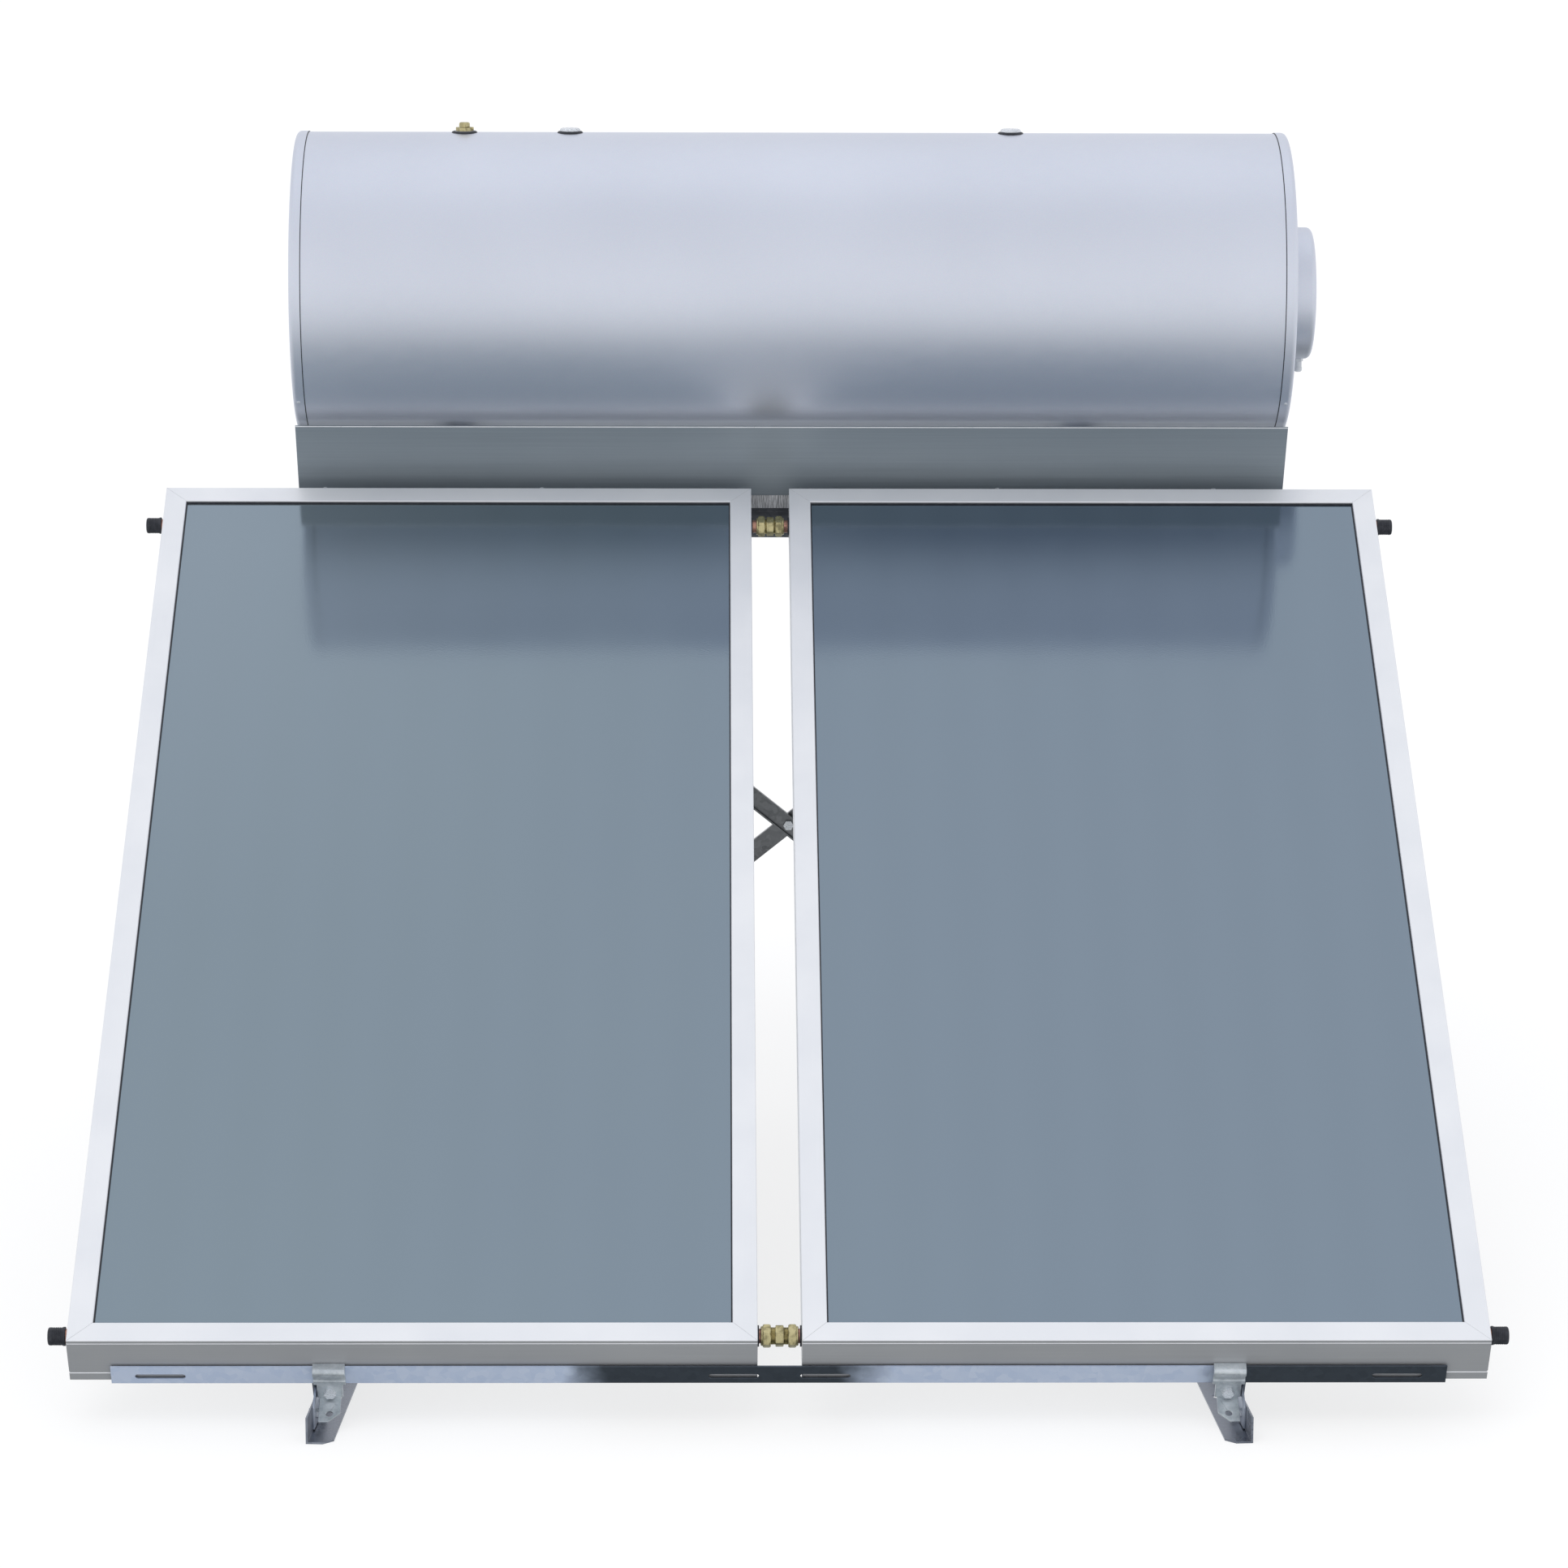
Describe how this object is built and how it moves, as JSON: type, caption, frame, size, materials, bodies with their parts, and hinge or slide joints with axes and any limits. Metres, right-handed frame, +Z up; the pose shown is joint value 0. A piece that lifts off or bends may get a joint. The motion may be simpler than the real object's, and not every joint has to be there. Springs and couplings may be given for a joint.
{
  "type": "solar water heater",
  "caption": "Thermosyphon solar water heater: flat-plate collectors side by side on a sloping flat-roof stand, with a horizontal storage tank along the top edge.",
  "frame": {"origin": "midway between the two front anchor holes, on the ground", "axes": "+X along the tank towards the heater cover, +Y from the collectors' low edge towards the tank, +Z up"},
  "size_m": [2.174, 2.2434, 1.7768],
  "materials": {
    "frame_aluminium": "satin",
    "solar_glass": "gloss",
    "black_rubber": "matte",
    "selective_coating": "satin",
    "copper": "satin",
    "mineral_wool": "matte",
    "back_sheet_metal": "satin",
    "brass": "satin",
    "galvanised_steel": "satin",
    "zinc_plated_steel": "satin",
    "silver_paint": "satin",
    "foam": "matte",
    "enamelled_steel": "gloss",
    "plain_steel": "satin",
    "magnesium": "matte",
    "white_plastic": "matte",
    "dark_plastic": "matte",
    "grey_plastic": "matte"
  },
  "bodies": {
    "stand": {"left_collector_frame": "frame_aluminium", "right_collector_frame": "frame_aluminium", "left_glass": "solar_glass", "right_glass": "solar_glass", "left_glass_gasket": "black_rubber", "right_glass_gasket": "black_rubber", "left_absorber_plate": "selective_coating", "right_absorber_plate": "selective_coating", "left_absorber_tubes": "copper", "right_absorber_tubes": "copper", "left_collector_insulation": "mineral_wool", "right_collector_insulation": "mineral_wool", "left_back_sheet": "back_sheet_metal", "right_back_sheet": "back_sheet_metal", "pipe_grommets": "black_rubber", "top_coupling_body": "brass", "bottom_coupling_body": "brass", "coupling_nuts": "brass", "lower_rail": "galvanised_steel", "upper_rail": "galvanised_steel", "flashing": "galvanised_steel", "rail_clamps": "galvanised_steel", "tie_down_brackets": "galvanised_steel", "left_base_beam": "galvanised_steel", "right_base_beam": "galvanised_steel", "left_sloping_beam": "galvanised_steel", "right_sloping_beam": "galvanised_steel", "left_rear_leg": "galvanised_steel", "right_rear_leg": "galvanised_steel", "front_gussets": "galvanised_steel", "front_brace": "galvanised_steel", "back_brace": "galvanised_steel", "left_tank_saddle": "galvanised_steel", "right_tank_saddle": "galvanised_steel", "frame_bolts": "zinc_plated_steel", "tank_casing": "silver_paint", "left_end_cap": "silver_paint", "right_end_cap": "silver_paint", "tank_insulation": "foam", "inner_tank": "enamelled_steel", "tank_jacket": "enamelled_steel", "connection_sockets": "zinc_plated_steel", "socket_grommets": "black_rubber", "top_plugs": "zinc_plated_steel", "relief_valve_body": "brass", "heater_flange": "plain_steel", "flange_gasket": "black_rubber", "flange_bolts": "zinc_plated_steel", "heating_element": "copper", "anode_rod": "magnesium", "thermostat": "white_plastic"},
    "top_left_cap": {"top_left_cap": "black_rubber"},
    "top_right_cap": {"top_right_cap": "black_rubber"},
    "bottom_left_cap": {"bottom_left_cap": "black_rubber"},
    "bottom_right_cap": {"bottom_right_cap": "black_rubber"},
    "relief_knob": {"relief_valve_knob": "brass"},
    "dial": {"thermostat_dial": "dark_plastic"},
    "cover": {"heater_cover": "silver_paint", "cable_gland": "grey_plastic"}
  },
  "joints": [
    {"name": "top_left_cap_slide", "type": "slide", "parent": "stand", "child": "top_left_cap", "axis": [-1, 0, 0], "range_m": [0, 0.06]},
    {"name": "top_right_cap_slide", "type": "slide", "parent": "stand", "child": "top_right_cap", "axis": [1, 0, 0], "range_m": [0, 0.06]},
    {"name": "bottom_left_cap_slide", "type": "slide", "parent": "stand", "child": "bottom_left_cap", "axis": [-1, 0, 0], "range_m": [0, 0.06]},
    {"name": "bottom_right_cap_slide", "type": "slide", "parent": "stand", "child": "bottom_right_cap", "axis": [1, 0, 0], "range_m": [0, 0.06]},
    {"name": "cover_slide", "type": "slide", "parent": "stand", "child": "cover", "axis": [1, 0, 0], "range_m": [0, 0.1]},
    {"name": "relief_knob_turn", "type": "hinge", "parent": "stand", "child": "relief_knob", "pos_m": [-0.533, 1.65915, 1.76204], "axis": [0, 0, 1], "range_deg": [0, 90]},
    {"name": "dial_turn", "type": "hinge", "parent": "stand", "child": "dial", "pos_m": [0.927, 1.65915, 1.48104], "axis": [1, 0, 0], "range_deg": [0, 270]}
  ]
}
